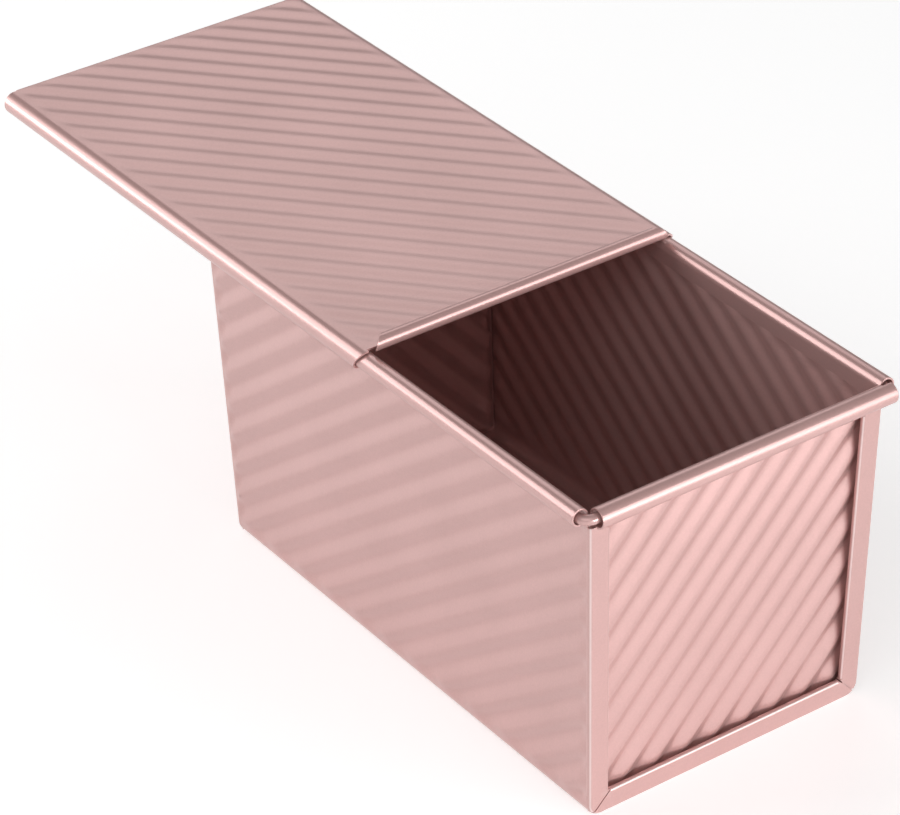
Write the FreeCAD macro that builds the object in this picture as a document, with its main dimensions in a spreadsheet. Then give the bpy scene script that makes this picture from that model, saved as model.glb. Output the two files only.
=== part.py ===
"""Pullman loaf pan: a ribbed sheet-steel tin with wired rims, lock seams and a sliding lid.

Millimetres and degrees, +Z up. The pan's length runs along X, the lid opens towards -X,
and the origin is the middle of the base on the surface that the pan stands on.
"""
import FreeCAD
import Part
import Sketcher
import math
import os
from types import SimpleNamespace

V = FreeCAD.Vector

# Driving dimensions
SIZES = {
    # Body, measured over the outside of the sheet; the walls lean outwards from base to rim
    "pan_height": 113.0,
    "base_length": 189.4,
    "base_width": 102.8,
    "top_length": 198.0,
    "top_width": 107.6,
    "sheet_gauge": 0.6,
    "base_bend_radius": 4.5,
    # Wired rim: both curls wrap one ring of wire
    "long_curl_radius": 2.9,
    "end_curl_radius": 3.3,
    "end_rim_drop": 0.4,
    "curl_turn": 280.0,
    "curl_setback": 3.7,
    "corner_notch_gap": 0.2,
    "wire_radius": 1.6,
    "wire_drop": 3.5,
    "wire_corner_radius": 3.9,
    # Lock seams: the wrap folds over each end as a frame and hooks the panel's hem
    "strip_width": 7.2,
    "base_strip_width": 7.5,
    "fold_radius": 1.2,
    "seam_gap": 0.1,
    "hem_tip_gap": 0.3,
    "mitre_gap": 0.3,
    # Pressed ribs
    "rib_depth": 0.45,
    "rib_margin": 1.6,
    "sheet_lap": 0.4,
    "wrap_rib_pitch": 9.4,
    "wrap_rib_angle": 37.0,
    "end_rib_pitch": 8.6,
    "end_rib_angle": 49.0,
    "lid_rib_pitch": 8.6,
    "lid_rib_angle": 41.0,
    "base_rib_depth": 0.4,
    "base_rib_lift": 0.05,
    # Lid, drawn slid back as it rests
    "slide_clearance": 0.3,
    "lid_length": 211.6,
    "lid_slid_back": 111.7,
    "channel_turn": 165.0,
    "channel_end_slant": 32.0,
    "bead_radius": 2.3,
    "bead_turn": 300.0,
    "bead_end_gap": 2.0,
    "bead_end_slant": 19.0,
    "lip_depth": 4.0,
    "lip_bend_radius": 1.5,
    "lip_end_gap": 1.5,
    # How far cutting tools reach past what they cut
    "overrun": 20.0,
}

doc = FreeCAD.newDocument("pullman_loaf_pan")
sheet = doc.addObject("Spreadsheet::Sheet", "sizes")
for row, (alias, value) in enumerate(SIZES.items(), start=1):
    sheet.set(f"A{row}", alias)
    sheet.set(f"B{row}", str(value))
    sheet.setAlias(f"B{row}", alias)
doc.recompute()
d = SimpleNamespace(**{alias: float(sheet.get(alias)) for alias in SIZES})

# Leans of the walls, and the heights and offsets that several pieces share
end_lean = (d.top_length - d.base_length) / (2 * d.pan_height)
side_lean = (d.top_width - d.base_width) / (2 * d.pan_height)
end_tilt = math.atan(end_lean)
side_tilt = math.atan(side_lean)
hem_radius = (3 * d.sheet_gauge + 2 * d.seam_gap) / 2
panel_recess = 2 * hem_radius + d.seam_gap
hook_inset = d.sheet_gauge + d.seam_gap + hem_radius
end_rim_top = d.pan_height - d.end_rim_drop
end_axis_height = end_rim_top - d.end_curl_radius
long_axis_height = d.pan_height - d.long_curl_radius
notch_height = end_rim_top - 2 * d.end_curl_radius - d.corner_notch_gap

# The same, as expressions for the document
END_LEAN = "(sizes.top_length - sizes.base_length) / (2 * sizes.pan_height)"
SIDE_LEAN = "(sizes.top_width - sizes.base_width) / (2 * sizes.pan_height)"
HEM_RADIUS = "(3 * sizes.sheet_gauge + 2 * sizes.seam_gap) / 2"
PANEL_RECESS = f"(2 * {HEM_RADIUS} + sizes.seam_gap)"
NOTCH_HEIGHT = (
    "(sizes.pan_height - sizes.end_rim_drop - 2 * sizes.end_curl_radius - sizes.corner_notch_gap)"
)

# Drawing planes: where a profile's own axes point
ON_XY = FreeCAD.Rotation()
ON_YZ = FreeCAD.Rotation(V(0, 1, 0), V(0, 0, 1), V(1, 0, 0))
ON_XZ = FreeCAD.Rotation(V(1, 0, 0), V(0, 0, 1), V(0, -1, 0))
HALF_TURN = FreeCAD.Placement(V(0, 0, 0), FreeCAD.Rotation(V(0, 0, 1), 180))


def end_x(height):
    """Outer face of the end frame, along +X."""
    return d.base_length / 2 + end_lean * height


def side_y(height):
    """Outer face of the long side, along +Y."""
    return d.base_width / 2 + side_lean * height


def rounded_outline(corners):
    """Edges of a closed outline whose corners, given as (a, b, radius), are rounded by arcs."""
    points = [V(a, b, 0) for a, b, _ in corners]
    entries, arcs, exits = [], [], []
    for here, (_, _, radius) in enumerate(corners):
        back = (points[here - 1] - points[here]).normalize()
        ahead = (points[(here + 1) % len(points)] - points[here]).normalize()
        half = back.getAngle(ahead) / 2
        reach = radius / math.tan(half)
        middle = (back + ahead).normalize()
        entries.append(points[here] + back * reach)
        exits.append(points[here] + ahead * reach)
        arcs.append(points[here] + middle * (radius / math.sin(half) - radius))
    edges = []
    for here, (_, _, radius) in enumerate(corners):
        if radius > 0:
            edges.append(Part.Arc(entries[here], arcs[here], exits[here]).toShape())
        after = (here + 1) % len(corners)
        edges.append(Part.LineSegment(exits[here], entries[after]).toShape())
    return edges


def bent_sheet(start, heading, moves, gauge):
    """Edges of a sheet's section that follows runs and bends, on the left of the path.

    A move is ("run", length) or ("bend", angle, inner radius); a positive angle turns left.
    """
    point, angle = V(*start, 0), math.radians(heading)
    right, left = [], []
    for move in moves:
        ahead = V(math.cos(angle), math.sin(angle), 0)
        side = V(-math.sin(angle), math.cos(angle), 0)
        if move[0] == "run":
            after = point + ahead * move[1]
            right.append(Part.LineSegment(point, after).toShape())
            left.append(Part.LineSegment(point + side * gauge, after + side * gauge).toShape())
            point = after
            continue
        turn, inner = math.radians(move[1]), move[2]
        sign = 1 if turn > 0 else -1
        near = inner + gauge if sign > 0 else inner
        far = inner if sign > 0 else inner + gauge
        centre = point + side * (sign * near)

        def on_arc(radius, share):
            spoke = angle + turn * share
            return centre + V(math.sin(spoke), -math.cos(spoke), 0) * (sign * radius)

        right.append(Part.Arc(on_arc(near, 0), on_arc(near, 0.5), on_arc(near, 1)).toShape())
        left.append(Part.Arc(on_arc(far, 0), on_arc(far, 0.5), on_arc(far, 1)).toShape())
        point, angle = on_arc(near, 1), angle + turn
    side = V(-math.sin(angle), math.cos(angle), 0)
    last_cap = Part.LineSegment(point, point + side * gauge).toShape()
    first_side = V(-math.sin(math.radians(heading)), math.cos(math.radians(heading)), 0)
    first_cap = Part.LineSegment(V(*start, 0), V(*start, 0) + first_side * gauge).toShape()
    return right + [last_cap] + left[::-1] + [first_cap]


def wave_outline(pitch, depth, gauge, count):
    """Edges of a corrugated sheet's section: count waves of tangent arcs, centred on the origin."""
    rise = depth / 2

    def wave_line(height):
        line = []
        for half_wave in range(2 * count):
            start = pitch * (half_wave / 2 - count / 2)
            crest = rise if half_wave % 2 == 0 else -rise
            line.append(Part.Arc(
                V(start, height, 0), V(start + pitch / 4, height + crest, 0), V(start + pitch / 2, height, 0),
            ).toShape())
        return line

    reach = pitch * count / 2
    top, bottom = gauge / 2, -gauge / 2
    caps = [
        Part.LineSegment(V(end, bottom, 0), V(end, top, 0)).toShape() for end in (-reach, reach)
    ]
    return wave_line(top) + wave_line(bottom) + caps


def profile(name, edges, rotation, place=V(0, 0, 0)):
    """A flat face with the given outline, turned onto its drawing plane."""
    feature = doc.addObject("Part::Feature", name)
    feature.Shape = Part.Face(Part.Wire(Part.__sortEdges__(edges)))
    feature.Placement = FreeCAD.Placement(place, rotation)
    return feature


def extrude(name, base, direction, length, symmetric=True):
    """A solid of a profile pulled along a direction for a length given as an expression."""
    feature = doc.addObject("Part::Extrusion", name)
    feature.Base = base
    feature.DirMode = "Custom"
    feature.Dir = direction
    feature.Solid = True
    feature.Symmetric = symmetric
    feature.setExpression("LengthFwd", length)
    return feature


def wedge(name, low, high, bottom, top, placement=FreeCAD.Placement()):
    """A tapered block from expressions.

    low and high are its two ends along its own Y; bottom and top are the (x from, x to, z from, z to)
    of its faces there.
    """
    feature = doc.addObject("Part::Wedge", name)
    names = ("Xmin", "Xmax", "Zmin", "Zmax"), ("X2min", "X2max", "Z2min", "Z2max")
    for face_names, face in zip(names, (bottom, top)):
        for property_name, expression in zip(face_names, face):
            feature.setExpression(property_name, expression)
    feature.setExpression("Ymin", low)
    feature.setExpression("Ymax", high)
    feature.Placement = placement
    return feature


def upright_wedge(name, low, high, x_from, x_to, half_width):
    """A block between two planes that lean like the pan's +X end; its sides lean like the long sides.

    x_from, x_to and half_width are expressions for the height of the base.
    """
    faces = []
    for height in (low, high):
        shift = f"{END_LEAN} * ({height})"
        spread = f"{half_width} + {SIDE_LEAN} * ({height})"
        faces.append((f"{x_from} + {shift}", f"{x_to} + {shift}", f"-({spread})", spread))
    return wedge(name, low, high, *faces, FreeCAD.Placement(V(0, 0, 0), FreeCAD.Rotation(V(1, 0, 0), 90)))


def mirrored(name, source, normal):
    """The source's mirror image across the plane through the origin with this normal."""
    feature = doc.addObject("Part::Mirroring", name)
    feature.Source = source
    feature.Base = V(0, 0, 0)
    feature.Normal = normal
    return feature


def fused(name, shapes):
    feature = doc.addObject("Part::MultiFuse", name)
    feature.Shapes = shapes
    feature.Refine = True
    return feature


def common(name, shapes):
    feature = doc.addObject("Part::MultiCommon", name)
    feature.Shapes = shapes
    return feature


def cut(name, base, tool):
    feature = doc.addObject("Part::Cut", name)
    feature.Base = base
    feature.Tool = tool
    return feature


def ribbed_field(name, frame, pitch, angle, depth, gauge, middle, trim, reach):
    """A corrugated field of sheet and the block that trims it and opens the flat sheet for it.

    frame places the field's own axes: x along the panel, y up it, z out of it. middle is the centre of
    the waves in that frame. trim gives the field's lower and upper edge and its half widths there, as
    expressions. reach is an expression at least as long as the field's diagonal.
    """
    low, high, *halves = trim
    turn = math.radians(angle)
    along = V(math.cos(turn), math.sin(turn), 0)
    across = V(-math.sin(turn), math.cos(turn), 0)
    count = 2 * math.ceil((d.lid_length + d.top_width) / pitch / 2)
    waves = profile(
        f"{name}_wave", wave_outline(pitch, depth, gauge, count),
        FreeCAD.Rotation(across, V(0, 0, 1), along), middle,
    )
    ribs = extrude(f"{name}_ribs", waves, along, reach)
    ribs.Placement = frame
    faces = [(f"-{half}", half, "-sizes.overrun", "sizes.overrun") for half in halves]
    opening = wedge(f"{name}_opening", low, high, *faces, frame)
    return common(f"{name}_panel", [ribs, opening]), opening


# Ribbed body wrap: both long sides and the base, bent from one sheet
wall_gauge = d.sheet_gauge * math.cos(side_tilt)
wall_top = long_axis_height + d.long_curl_radius * math.sin(side_tilt)
u_inner_y = d.base_width / 2 - d.sheet_gauge + side_lean * d.sheet_gauge
bend_inner_radius = d.base_bend_radius - d.sheet_gauge


def u_outline(upper):
    """Section of the wrap up to a height: outside edge, then inside edge."""
    outer, inner = side_y(upper), side_y(upper) - d.sheet_gauge
    return rounded_outline([
        (-outer, upper, 0), (-d.base_width / 2, 0, d.base_bend_radius),
        (d.base_width / 2, 0, d.base_bend_radius), (outer, upper, 0),
        (inner, upper, 0), (u_inner_y, d.sheet_gauge, bend_inner_radius),
        (-u_inner_y, d.sheet_gauge, bend_inner_radius), (-inner, upper, 0),
    ])


wrap_u = extrude(
    "wrap_u", profile("wrap_u_profile", u_outline(wall_top), ON_YZ), V(1, 0, 0), "sizes.top_length",
)
FOLD_START = "(sizes.base_length / 2 - sizes.fold_radius)"
UPRIGHT = FreeCAD.Placement(V(0, 0, 0), FreeCAD.Rotation(V(1, 0, 0), 90))
WRAP_LOW, WRAP_HIGH = "-sizes.overrun", "(sizes.pan_height + sizes.overrun)"
wrap_length = wedge(
    "wrap_length", WRAP_LOW, WRAP_HIGH,
    *[(f"-({FOLD_START} + {END_LEAN} * {height})", f"{FOLD_START} + {END_LEAN} * {height}",
       "-sizes.top_width", "sizes.top_width") for height in (WRAP_LOW, WRAP_HIGH)],
    UPRIGHT,
)
wrap_walls = common("wrap_walls", [wrap_u, wrap_length])

# Long rim curls, turned outwards from the top of each wall
curl_foot = wall_top - d.sheet_lap
wrap_curl_moves = [
    ("run", d.sheet_lap / math.cos(side_tilt)), ("bend", d.curl_turn, d.long_curl_radius - wall_gauge),
]
wrap_curl = extrude(
    "wrap_curl",
    profile(
        "wrap_curl_profile",
        bent_sheet(
            (d.sheet_gauge - side_y(curl_foot), curl_foot), 90 + math.degrees(side_tilt), wrap_curl_moves,
            wall_gauge,
        ), ON_YZ,
    ),
    V(1, 0, 0), "sizes.top_length - 2 * sizes.curl_setback",
)
wrap_curl_right = mirrored("wrap_curl_right", wrap_curl, V(0, 1, 0))

# Corners where the wire turns in the open, above the walls
notches = []
for name, turn in (("front_notch", 0), ("rear_notch", 180)):
    notch = doc.addObject("Part::Box", name)
    notch.setExpression("Length", "sizes.curl_setback + sizes.overrun")
    notch.setExpression("Width", "2 * sizes.top_width")
    notch.setExpression("Height", "sizes.pan_height")
    side = "1" if turn == 0 else "-1"
    notch.Placement = FreeCAD.Placement(V(0, 0, 0), FreeCAD.Rotation(V(0, 0, 1), turn))
    notch.setExpression("Placement.Base.x", f"{side} * (sizes.top_length / 2 - sizes.curl_setback)")
    notch.setExpression("Placement.Base.y", f"-{side} * sizes.top_width")
    notch.setExpression("Placement.Base.z", NOTCH_HEIGHT)
    notches.append(notch)

# Frame folded over the +X end: upright strips, base strip and the corners between them
corner_height = d.base_strip_width + d.mitre_gap
corner_y = d.base_width / 2 - d.strip_width - d.mitre_gap
return_run = d.strip_width - hem_radius - hook_inset - d.hem_tip_gap
UPRIGHT_RUN = (
    f"({NOTCH_HEIGHT} - sizes.base_strip_width - sizes.mitre_gap)"
    f" * sqrt(1 + ({END_LEAN})^2 + ({SIDE_LEAN})^2)"
)
BASE_RUN = "sizes.base_width - 2 * (sizes.strip_width + sizes.mitre_gap)"
upright = V(end_lean, -side_lean, 1)

strip_moves = [
    ("run", d.sheet_lap),
    ("bend", 90, d.fold_radius - d.sheet_gauge),
    ("run", d.strip_width - d.fold_radius - hem_radius),
    ("bend", 180, hem_radius - d.sheet_gauge),
    ("run", return_run),
]
strip_start = (end_x(corner_height) - d.fold_radius - d.sheet_lap, -side_y(corner_height))
strip_left = extrude(
    "strip_left",
    profile(
        "strip_profile", bent_sheet(strip_start, 0, strip_moves, d.sheet_gauge), ON_XY,
        V(0, 0, corner_height),
    ),
    upright, UPRIGHT_RUN, symmetric=False,
)
strip_right = mirrored("strip_right", strip_left, V(0, 1, 0))

end_gauge = d.sheet_gauge * math.cos(end_tilt)
hem_inner = (hem_radius - d.sheet_gauge) * math.cos(end_tilt)
fold_back = d.base_length / 2 - d.fold_radius - d.sheet_lap
hem_height = d.base_strip_width - hem_radius
base_fold = extrude(
    "base_fold",
    profile("base_fold_profile", rounded_outline([
        (fold_back, 0, 0), (d.base_length / 2, 0, d.fold_radius), (end_x(hem_height), hem_height, 0),
        (end_x(hem_height) - d.sheet_gauge, hem_height, 0),
        (d.base_length / 2 - d.sheet_gauge + end_lean * d.sheet_gauge, d.sheet_gauge,
         d.fold_radius - d.sheet_gauge),
        (fold_back, d.sheet_gauge, 0),
    ]), ON_XZ),
    V(0, 1, 0), BASE_RUN,
)
hem_foot = hem_height - d.sheet_lap
hem_moves = [
    ("run", d.sheet_lap / math.cos(end_tilt)), ("bend", 180, hem_inner), ("run", return_run),
]
base_hem = extrude(
    "base_hem",
    profile(
        "base_hem_profile",
        bent_sheet((end_x(hem_foot), hem_foot), 90 - math.degrees(end_tilt), hem_moves, end_gauge), ON_XZ,
    ),
    V(0, 1, 0), BASE_RUN,
)

frame_face = upright_wedge(
    "frame_face", "-sizes.overrun", "sizes.pan_height", "sizes.base_length / 2 - sizes.sheet_gauge",
    "sizes.base_length / 2", "sizes.top_width",
)
corner_prism = extrude(
    "corner_prism",
    profile("corner_profile", rounded_outline([
        (-side_y(corner_height), corner_height, 0), (-d.base_width / 2, 0, d.base_bend_radius),
        (-corner_y, 0, 0), (-corner_y, corner_height, 0),
    ]), ON_YZ),
    V(1, 0, 0), "2 * sizes.top_length",
)
slit_way = V(d.strip_width, d.base_strip_width, 0).normalize()
slit_side = V(-slit_way.y, slit_way.x, 0) * (d.mitre_gap / 2)
slit_ends = [
    V(-d.base_width / 2, 0, 0) - slit_way * d.overrun,
    V(d.strip_width - d.base_width / 2, d.base_strip_width, 0) + slit_way * d.strip_width,
]
mitre_slit = extrude(
    "mitre_slit",
    profile("mitre_profile", rounded_outline([
        (point.x, point.y, 0) for point in (
            slit_ends[0] - slit_side, slit_ends[1] - slit_side,
            slit_ends[1] + slit_side, slit_ends[0] + slit_side,
        )
    ]), ON_YZ),
    V(1, 0, 0), "2 * sizes.top_length",
)
corner_left = cut("corner_left", common("corner_plate", [corner_prism, frame_face]), mitre_slit)
corner_right = mirrored("corner_right", corner_left, V(0, 1, 0))

corner_bend = extrude(
    "corner_bend",
    profile("corner_bend_profile", rounded_outline([
        (-side_y(corner_height), corner_height, 0), (-d.base_width / 2, 0, d.base_bend_radius),
        (-corner_y, 0, 0), (-corner_y, d.sheet_gauge, 0),
        (-u_inner_y, d.sheet_gauge, bend_inner_radius),
        (d.sheet_gauge - side_y(corner_height), corner_height, 0),
    ]), ON_YZ),
    V(1, 0, 0), "2 * sizes.top_length",
)
corner_reach = upright_wedge(
    "corner_reach", "-sizes.overrun", "sizes.pan_height", f"{FOLD_START} - sizes.sheet_lap",
    "sizes.base_length / 2 - sizes.sheet_gauge / 2", "sizes.top_width",
)
heel_left = common("heel_left", [corner_bend, corner_reach])
heel_right = mirrored("heel_right", heel_left, V(0, 1, 0))

front_frame = fused("front_frame", [
    strip_left, strip_right, base_fold, base_hem, corner_left, corner_right, heel_left, heel_right,
])
rear_frame = mirrored("rear_frame", front_frame, V(1, 0, 0))

# Diagonal ribs of the wrap; they run on round the base bends, so the base slants the other way
side_frame = FreeCAD.Placement(
    V(0, -d.base_width / 2, 0),
    FreeCAD.Rotation(
        V(1, 0, 0), V(0, -math.sin(side_tilt), math.cos(side_tilt)),
        V(0, -math.cos(side_tilt), -math.sin(side_tilt)),
    ),
)
SIDE_LOW = "(sizes.base_bend_radius + sizes.rib_margin)"
SIDE_HIGH = "(sizes.pan_height - 2 * sizes.long_curl_radius - sizes.rib_margin)"
side_trim = (
    SIDE_LOW, SIDE_HIGH,
    f"({FOLD_START} + {END_LEAN} * {SIDE_LOW} - sizes.rib_margin)",
    f"({FOLD_START} + {END_LEAN} * {SIDE_HIGH} - sizes.rib_margin)",
)
side_middle = V(0, d.pan_height / 2, -wall_gauge / 2)
WRAP_REACH = "2 * sizes.top_length"
left_ribs, left_opening = ribbed_field(
    "left", side_frame, d.wrap_rib_pitch, d.wrap_rib_angle, d.rib_depth, wall_gauge, side_middle, side_trim,
    WRAP_REACH,
)
right_ribs, right_opening = ribbed_field(
    "right", HALF_TURN.multiply(side_frame), d.wrap_rib_pitch, d.wrap_rib_angle, d.rib_depth, wall_gauge,
    side_middle, side_trim, WRAP_REACH,
)
base_frame = FreeCAD.Placement(V(0, 0, 0), FreeCAD.Rotation(V(1, 0, 0), V(0, -1, 0), V(0, 0, -1)))
BASE_EDGE = "(sizes.base_width / 2 - sizes.base_bend_radius - sizes.rib_margin)"
BASE_HALF = f"({FOLD_START} - sizes.rib_margin)"
base_middle = V(0, 0, -(d.sheet_gauge + d.base_rib_depth) / 2 - d.base_rib_lift)
base_ribs, base_opening = ribbed_field(
    "base", base_frame, d.wrap_rib_pitch, d.wrap_rib_angle, d.base_rib_depth, d.sheet_gauge, base_middle,
    (f"-{BASE_EDGE}", BASE_EDGE, BASE_HALF, BASE_HALF), WRAP_REACH,
)

wrap_cuts = fused("wrap_cuts", notches + [left_opening, right_opening, base_opening])
wrap_sheet = cut("wrap_sheet", wrap_walls, wrap_cuts)
body_wrap = fused("body_wrap", [
    wrap_sheet, wrap_curl, wrap_curl_right, front_frame, rear_frame, left_ribs, right_ribs, base_ribs,
])

# End panel: a ribbed plate hooked into the frame on three edges and curled over the wire on top
panel_plane = upright_wedge(
    "panel_plane", "-sizes.overrun", "sizes.pan_height",
    f"sizes.base_length / 2 - {PANEL_RECESS} - sizes.sheet_gauge",
    f"sizes.base_length / 2 - {PANEL_RECESS}", "sizes.top_width",
)
panel_foot = d.base_width / 2 - hook_inset + side_lean * hook_inset
panel_shoulder_height = notch_height + d.corner_notch_gap + d.sheet_lap
panel_shoulder = side_y(panel_shoulder_height) - hook_inset
panel_corner_radius = d.base_bend_radius - hook_inset
panel_prism = extrude(
    "panel_prism",
    profile("panel_outline", rounded_outline([
        (-panel_shoulder, panel_shoulder_height, 0), (-panel_foot, hook_inset, panel_corner_radius),
        (panel_foot, hook_inset, panel_corner_radius), (panel_shoulder, panel_shoulder_height, 0),
    ]), ON_YZ),
    V(1, 0, 0), "2 * sizes.top_length",
)
panel_plate = common("panel_plate", [panel_prism, panel_plane])

panel_frame = FreeCAD.Placement(
    V(d.base_length / 2 - panel_recess, 0, 0),
    FreeCAD.Rotation(
        V(0, 1, 0), V(math.sin(end_tilt), 0, math.cos(end_tilt)),
        V(math.cos(end_tilt), 0, -math.sin(end_tilt)),
    ),
)
PANEL_LOW = "(sizes.base_strip_width + sizes.rib_margin)"
PANEL_HIGH = f"({NOTCH_HEIGHT} - sizes.rib_margin)"
panel_trim = (PANEL_LOW, PANEL_HIGH) + tuple(
    f"(sizes.base_width / 2 + {SIDE_LEAN} * {height} - sizes.strip_width - sizes.rib_margin)"
    for height in (PANEL_LOW, PANEL_HIGH)
)
panel_ribs, panel_opening = ribbed_field(
    "panel", panel_frame, d.end_rib_pitch, d.end_rib_angle, d.rib_depth, end_gauge,
    V(0, d.pan_height / 2, -end_gauge / 2), panel_trim, "2 * (sizes.top_width + sizes.pan_height)",
)

hook_moves = [
    ("run", d.sheet_lap), ("bend", 180, hem_radius - d.sheet_gauge), ("run", return_run),
]
hook_start = (
    end_x(corner_height) - panel_recess - d.sheet_gauge, d.sheet_lap + hook_inset - side_y(corner_height),
)
hook_left = extrude(
    "hook_left",
    profile(
        "hook_profile", bent_sheet(hook_start, -90, hook_moves, d.sheet_gauge), ON_XY, V(0, 0, corner_height),
    ),
    upright, UPRIGHT_RUN, symmetric=False,
)
hook_right = mirrored("hook_right", hook_left, V(0, 1, 0))
base_hook_head = hook_inset + d.sheet_lap
base_hook_moves = [
    ("run", d.sheet_lap / math.cos(end_tilt)), ("bend", 180, hem_inner), ("run", return_run),
]
base_hook = extrude(
    "base_hook",
    profile(
        "base_hook_profile",
        bent_sheet(
            (end_x(base_hook_head) - panel_recess - d.sheet_gauge, base_hook_head),
            -90 - math.degrees(end_tilt), base_hook_moves, end_gauge,
        ), ON_XZ,
    ),
    V(0, 1, 0), BASE_RUN,
)

end_curl_inner = d.end_curl_radius - end_gauge
curl_lead_height = notch_height + d.corner_notch_gap
curl_top_height = end_axis_height + end_curl_inner * math.sin(end_tilt)
panel_curl = extrude(
    "panel_curl",
    profile(
        "panel_curl_profile",
        bent_sheet(
            (end_x(curl_lead_height) - panel_recess, curl_lead_height), 90 - math.degrees(end_tilt),
            [("run", (curl_top_height - curl_lead_height) / math.cos(end_tilt)),
             ("bend", -d.curl_turn, end_curl_inner)],
            end_gauge,
        ), ON_XZ,
    ),
    V(0, 1, 0),
    f"sizes.base_width + 2 * ({SIDE_LEAN} * {NOTCH_HEIGHT} - sizes.sheet_gauge - sizes.seam_gap)",
)
front_end_panel = fused("front_end_panel", [
    cut("panel_sheet", panel_plate, panel_opening), panel_ribs, hook_left, hook_right, base_hook, panel_curl,
])
rear_end_panel = mirrored(
    "rear_end_panel", mirrored("panel_across", front_end_panel, V(1, 0, 0)), V(0, 1, 0),
)

# Rim wire: one ring, held in all four curls and bare at the corners
LONG_AXIS_Y = (
    f"(sizes.base_width / 2 + {SIDE_LEAN} * (sizes.pan_height - sizes.long_curl_radius)"
    " - sizes.sheet_gauge + sizes.long_curl_radius)"
)
END_AXIS_X = (
    f"(sizes.base_length / 2 + {END_LEAN} * (sizes.pan_height - sizes.end_rim_drop - sizes.end_curl_radius)"
    f" - {PANEL_RECESS} - sizes.sheet_gauge + sizes.end_curl_radius)"
)
long_axis_y = side_y(long_axis_height) - d.sheet_gauge + d.long_curl_radius
ring_x = end_x(end_axis_height) - panel_recess - d.sheet_gauge + d.end_curl_radius
ring_height = d.pan_height - d.wire_drop
straight_x, straight_y = ring_x - d.wire_corner_radius, long_axis_y - d.wire_corner_radius

rim_wire = doc.addObject("PartDesign::Body", "rim_wire")
origin_planes = {feature.Role: feature for feature in rim_wire.Origin.OriginFeatures}


def wire_sketch(name, plane):
    sketch = rim_wire.newObject("Sketcher::SketchObject", name)
    sketch.AttachmentSupport = [(origin_planes[plane], "")]
    sketch.MapMode = "FlatFace"
    return sketch


def dimension(sketch, name, expression, *constraint):
    """A named dimension of a sketch, bound to an expression."""
    index = sketch.addConstraint(Sketcher.Constraint(*constraint))
    sketch.renameConstraint(index, name)
    sketch.setExpression(f"Constraints.{name}", expression)


ring_path = wire_sketch("ring_path", "XY_Plane")
ring_path.setExpression("AttachmentOffset.Base.z", "sizes.pan_height - sizes.wire_drop")
ring_points = [
    (ring_x, 0), (ring_x, straight_y), (straight_x, long_axis_y), (-straight_x, long_axis_y),
    (-ring_x, straight_y), (-ring_x, -straight_y), (-straight_x, -long_axis_y),
    (straight_x, -long_axis_y), (ring_x, -straight_y), (ring_x, 0),
]
corner_middles = [
    (straight_x, straight_y), (-straight_x, straight_y), (-straight_x, -straight_y), (straight_x, -straight_y),
]
ring_edges = []
for here in range(len(ring_points) - 1):
    first, second = V(*ring_points[here], 0), V(*ring_points[here + 1], 0)
    if here % 2 == 0:
        ring_edges.append(Part.LineSegment(first, second))
        continue
    corner = here // 2
    circle = Part.Circle(V(*corner_middles[corner], 0), V(0, 0, 1), d.wire_corner_radius)
    ring_edges.append(Part.ArcOfCircle(circle, corner * math.pi / 2, (corner + 1) * math.pi / 2))
ring_path.addGeometry(ring_edges, False)
START, END, CENTRE = range(1, 4)
for here in range(len(ring_edges)):
    after = (here + 1) % len(ring_edges)
    if after == 0:
        ring_path.addConstraint(Sketcher.Constraint("Coincident", here, END, after, START))
    else:
        ring_path.addConstraint(Sketcher.Constraint("Tangent", here, END, after, START))
ring_path.addConstraint(Sketcher.Constraint("PointOnObject", 0, START, -1))
straight_edges, corner_edges = range(0, len(ring_edges), 2), range(1, len(ring_edges), 2)
for edge, kind in zip(straight_edges, ("Vertical", "Horizontal") * len(straight_edges)):
    ring_path.addConstraint(Sketcher.Constraint(kind, edge))
for corner in corner_edges[1:]:
    ring_path.addConstraint(Sketcher.Constraint("Equal", corner_edges[0], corner))
_, top_edge, rear_edge, bottom_edge, _ = straight_edges
dimension(
    ring_path, "corner_radius", "sizes.wire_corner_radius", "Radius", corner_edges[0], d.wire_corner_radius,
)
dimension(ring_path, "front_reach", END_AXIS_X, "DistanceX", -1, START, 0, START, ring_x)
dimension(ring_path, "rear_reach", END_AXIS_X, "DistanceX", rear_edge, START, -1, START, ring_x)
dimension(ring_path, "right_reach", LONG_AXIS_Y, "DistanceY", -1, START, top_edge, START, long_axis_y)
dimension(ring_path, "left_reach", LONG_AXIS_Y, "DistanceY", bottom_edge, START, -1, START, long_axis_y)

wire_section = wire_sketch("wire_section", "XZ_Plane")
wire_section.addGeometry(Part.Circle(V(ring_x, ring_height, 0), V(0, 0, 1), d.wire_radius), False)
dimension(wire_section, "wire_size", "sizes.wire_radius", "Radius", 0, d.wire_radius)
dimension(wire_section, "reach", END_AXIS_X, "DistanceX", -1, START, 0, CENTRE, ring_x)
dimension(
    wire_section, "height", "sizes.pan_height - sizes.wire_drop",
    "DistanceY", -1, START, 0, CENTRE, ring_height,
)
wire_ring = rim_wire.newObject("PartDesign::AdditivePipe", "wire_ring")
wire_ring.Profile = wire_section
wire_ring.Spine = ring_path
wire_ring.Mode = "Frenet"

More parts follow.
